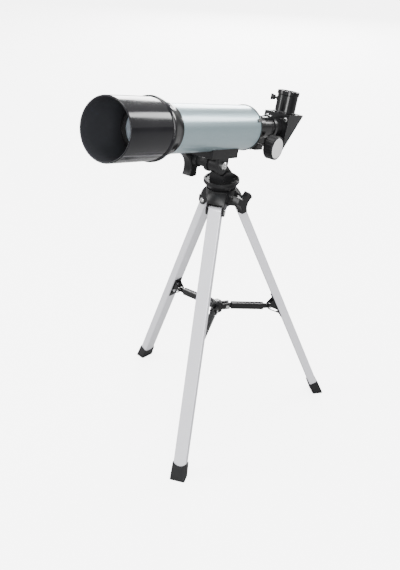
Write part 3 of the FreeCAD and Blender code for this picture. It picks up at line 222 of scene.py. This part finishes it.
def glass_with_painted_sheen():
    """Partly clear glass, paler than a real lens as a painted brightness, with a faint green-violet painted sheen
    that follows the viewing angle.
    """
    s = Shader("coated glass with painted sheen")
    facing = s.add("ShaderNodeLayerWeight", {"Blend": 0.4}).outputs["Facing"]
    smear = s.noise(60, 3)
    # Painted sheen: the base colour blends from the face tint to the edge tint by viewing angle.
    s.set(Base_Color=s.blend(facing, GLASS_FACE_PAINTED_SHEEN, GLASS_EDGE_PAINTED_SHEEN))
    s.set(Roughness=s.between(smear, 0.3, 0.7, 0.01, 0.05), IOR=1.52, Transmission_Weight=GLASS_CLEARNESS)
    s.set(Coat_Weight=1.0, Coat_IOR=3.2, Coat_Roughness=0.02, Coat_Tint=COAT_TINT)
    return s.material


MATERIALS = {}


def finishes():
    """Every finish of the object, by the record's slot or a name of its own."""
    hood_bore = mouth_radius("dew_shield")
    knob = Vector(JOINTS["focus_knob_turn"]["pos_m"])
    MATERIALS.update({
        "tube_paint": tube_paint(),
        "hood": two_sided_black("hood black", hood_bore, 0.13, 0.62),
        "gloss_black": plastic("gloss black", 0.008, 0.17, 0.03, rough_spread=0.04, ior=1.42),
        "satin_black": plastic("satin black", 0.010, 0.36, 0.14),
        "foot_rubber": plastic("foot rubber", 0.012, 0.45, 0.22),
        "black_metal": plastic("black metal", 0.010, 0.30, 0.08),
        "matt_black": plastic("matt black", 0.015, 0.75, 0.2),
        "steel_parts": plated("steel", 0.55, 0.25),
        "dark_screws": plated("dark screws", 0.06, 0.25),
        "chrome_parts": plated("chrome"),
        "silver_cap": turned_metal("silver cap", knob, SIDE, 0.98, 0.34, 0.1),
        "lens_glass": glass_with_painted_sheen(),
        "mirror_glass": plated("mirror", 0.86, 0.01),
        "gear_brass": brushed("gear brass", SIDE, 0.6, 0.3),
    })
    for name, across in LEGS.items():
        low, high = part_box(f"leg_tube_{name}")
        outward = Vector((0, 0, 1)).cross(across).normalized()
        run = (high - low).to_2d().length
        direction = Vector((0, 0, high.z - low.z)) + outward * run
        MATERIALS[f"leg_{name}"] = brushed(f"leg aluminium {name}", direction, 0.95, 0.34, 0.3, 0.05)


MOUTH_DEPTH = 0.003


def mouth_radius(node):
    """A node's smallest radius about the optical axis close to its front end."""
    back = OPTICAL.inverted()
    points = [back @ v.co for v in NODES[node].data.vertices]
    front = max(p.z for p in points)
    return min(math.hypot(p.x, p.y) for p in points if p.z > front - MOUTH_DEPTH)


# ---------------------------------------------------------------- CAD nodes: edges and finish
WELD_GAP, EDGE_WIDTH, EDGE_ANGLE, EDGE_STEPS, NORMAL_WEIGHT = 0.00001, 0.25 * MM, math.radians(32), 2, 60


def paint(node, finish):
    """Gives a CAD node one material."""
    mesh = NODES[node].data
    mesh.materials.clear()
    mesh.materials.append(MATERIALS[finish])


def soften(node):
    """Rounds a CAD node's edges with modifiers and shades it smoothly."""
    piece = NODES[node]
    weld = piece.modifiers.new("weld", "WELD")
    weld.merge_threshold = WELD_GAP
    edge = piece.modifiers.new("edge", "BEVEL")
    edge.width = EDGE_WIDTH
    edge.segments = EDGE_STEPS
    edge.limit_method = "ANGLE"
    edge.angle_limit = EDGE_ANGLE
    even = piece.modifiers.new("even", "WEIGHTED_NORMAL")
    even.mode = "FACE_AREA_WITH_ANGLE"
    even.weight = NORMAL_WEIGHT
    for face in piece.data.polygons:
        face.use_smooth = True


FINISH = {
    "main_tube": "tube_paint", "dew_shield": "hood", "objective_cell": "gloss_black",
    "tube_screws": "dark_screws", "lens_retaining_ring": "matt_black", "aperture_stop": "matt_black",
    "lens_spacer": "matt_black",
}


def dress():
    """Paints and softens every CAD node."""
    slots = {row["node"]: row["material_slot"] for row in frame["record"]["subparts"]}
    for node in NODES:
        finish = FINISH.get(node, slots[node])
        if node.startswith("leg_tube_"):
            finish = "leg_" + node.rsplit("_", 1)[1]
        paint(node, finish)
        soften(node)


# ---------------------------------------------------------------- stage, camera and light
# Floor and world show white to the camera but light the object less, so its blacks stay dark.
FLOOR_REACH, FLOOR_GLOW, FLOOR_TO_OBJECT = 12.0, 5.0, 0.30
FLOOR_DARK, FLOOR_PALE = 0.88, 0.92
WORLD_LIGHT, WORLD_SHOWN = 0.7, 6.0


def stage():
    """Adds the staged floor."""
    size = FLOOR_REACH
    floor = bpy.data.meshes.new("floor")
    corners = [(-size, -size, 0), (size, -size, 0), (size, size, 0), (-size, size, 0)]
    floor.from_pydata(corners, [], [(0, 1, 2, 3)])
    piece = bpy.data.objects.new("floor", floor)
    bpy.context.scene.collection.objects.link(piece)
    s = Shader("white floor")
    seen = s.add("ShaderNodeLightPath").outputs["Is Camera Ray"]
    pale = s.blend(s.noise(3, 3), grey(FLOOR_DARK), grey(FLOOR_PALE))
    s.set(Base_Color=s.blend(seen, grey(FLOOR_TO_OBJECT), pale), Roughness=0.8)
    s.set(Emission_Color=grey(1.0), Emission_Strength=s.math("MULTIPLY", seen, FLOOR_GLOW))
    floor.materials.append(s.material)


CAMERA_TURN, CAMERA_RISE, CAMERA_ROLL = 35.09, 31.75, 1.40
CAMERA_DISTANCE, CAMERA_LENS, SENSOR_WIDTH = 1.1302, 51.08, 36.0
CLIP_NEAR, CLIP_FAR = 0.05, 30.0
AIM_SIDE, AIM_HEIGHT = -0.0245, 0.2114


def camera():
    """Places the camera at the photograph's angle, turned about the object's vertical axis."""
    turn, rise = math.radians(CAMERA_TURN), math.radians(CAMERA_RISE)
    back = Vector((math.sin(turn) * math.cos(rise), -math.cos(turn) * math.cos(rise), math.sin(rise)))
    right = Vector((math.cos(turn), math.sin(turn), 0))
    data = bpy.data.cameras.new("camera")
    data.lens, data.sensor_width, data.sensor_fit = CAMERA_LENS, SENSOR_WIDTH, "AUTO"
    data.clip_start, data.clip_end = CLIP_NEAR, CLIP_FAR
    view = bpy.data.objects.new("camera", data)
    bpy.context.scene.collection.objects.link(view)
    view.location = right * AIM_SIDE + Vector((0, 0, AIM_HEIGHT)) + back * CAMERA_DISTANCE
    view.rotation_mode = "QUATERNION"
    level = back.to_track_quat("Z", "Y")
    view.rotation_quaternion = level @ Quaternion((0, 0, 1), math.radians(CAMERA_ROLL))
    bpy.context.scene.camera = view


LAMP_AIM = (0, 0, 0.4)
LAMPS = {  # place, width, height, power
    "overhead": ((-0.2, 0.1, 1.9), 1.8, 0.9, 34),
    "key": ((-1.5, -1.2, 1.2), 0.7, 1.2, 24),
    "side": ((1.3, -1.5, 0.8), 0.6, 0.9, 24),
    "front": ((0.9, -1.9, 1.7), 1.6, 1.0, 26),
    "back": ((-1.2, 2.1, 0.75), 1.0, 0.8, 44),
    "band": ((0.75, 2.2, 1.1), 0.5, 0.7, 16),
}


def lamp(name, place, width, height, power):
    """A rectangular softbox that points at the telescope."""
    data = bpy.data.lights.new(name, "AREA")
    data.shape, data.size, data.size_y, data.energy = "RECTANGLE", width, height, power
    piece = bpy.data.objects.new(name, data)
    bpy.context.scene.collection.objects.link(piece)
    piece.location = place
    piece.rotation_mode = "QUATERNION"
    piece.rotation_quaternion = (Vector(LAMP_AIM) - Vector(place)).to_track_quat("-Z", "Y")


def light():
    """Adds the world and the softboxes."""
    world = bpy.data.worlds.new("studio")
    world.use_nodes = True
    nodes, links = world.node_tree.nodes, world.node_tree.links
    seen, strength = nodes.new("ShaderNodeLightPath"), nodes.new("ShaderNodeMapRange")
    strength.inputs["To Min"].default_value = WORLD_LIGHT
    strength.inputs["To Max"].default_value = WORLD_SHOWN
    links.new(seen.outputs["Is Camera Ray"], strength.inputs["Value"])
    links.new(strength.outputs["Result"], nodes["Background"].inputs[1])
    nodes["Background"].inputs[0].default_value = (1, 1, 1, 1)
    bpy.context.scene.world = world
    for name, row in LAMPS.items():
        lamp(name, *row)


finishes()
dress()
stage()
camera()
light()
save_size()
